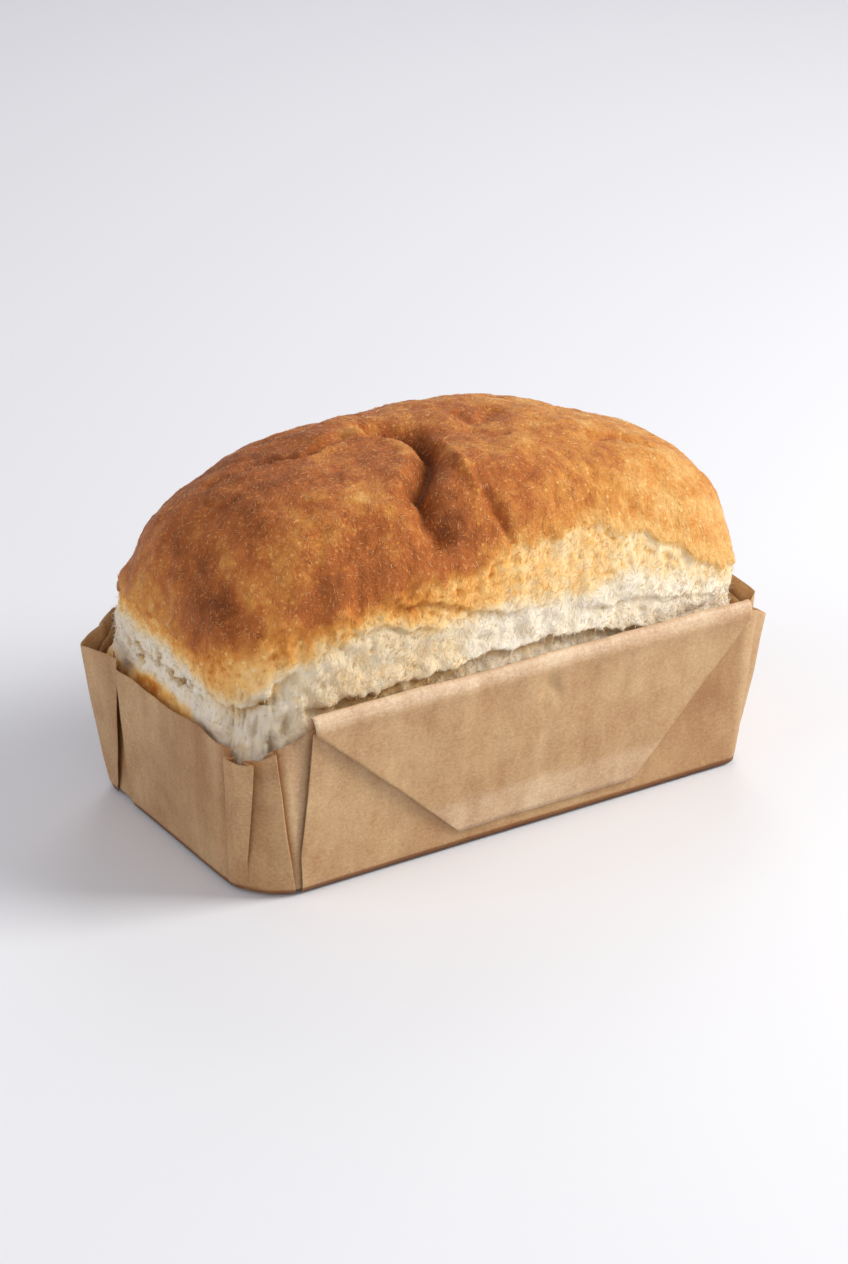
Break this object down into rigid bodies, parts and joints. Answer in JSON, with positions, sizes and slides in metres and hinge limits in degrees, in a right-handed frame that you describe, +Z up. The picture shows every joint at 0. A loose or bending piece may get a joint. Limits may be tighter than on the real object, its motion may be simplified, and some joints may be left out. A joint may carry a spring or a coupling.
{
  "type": "tin loaf in a folded paper case",
  "caption": "Tall tin loaf with a folded, browned crust and a torn pale side, standing in a pleated brown baking-paper case with a deep turned-down flap.",
  "frame": {"origin": "middle of the case's flat underside, where it rests", "axes": "+X along the loaf, +Z up, the long side with the deep flap faces -Y"},
  "size_m": [0.238, 0.1358, 0.1452],
  "materials": {
    "crust": "baked wheat crust, golden to deep brown, over torn pale crumb at the sides",
    "kraft_baking_paper": "unbleached brown baking paper, soft satin, slightly greased"
  },
  "bodies": {
    "root": {"loaf": "crust", "paper_case": "kraft_baking_paper"}
  },
  "joints": []
}
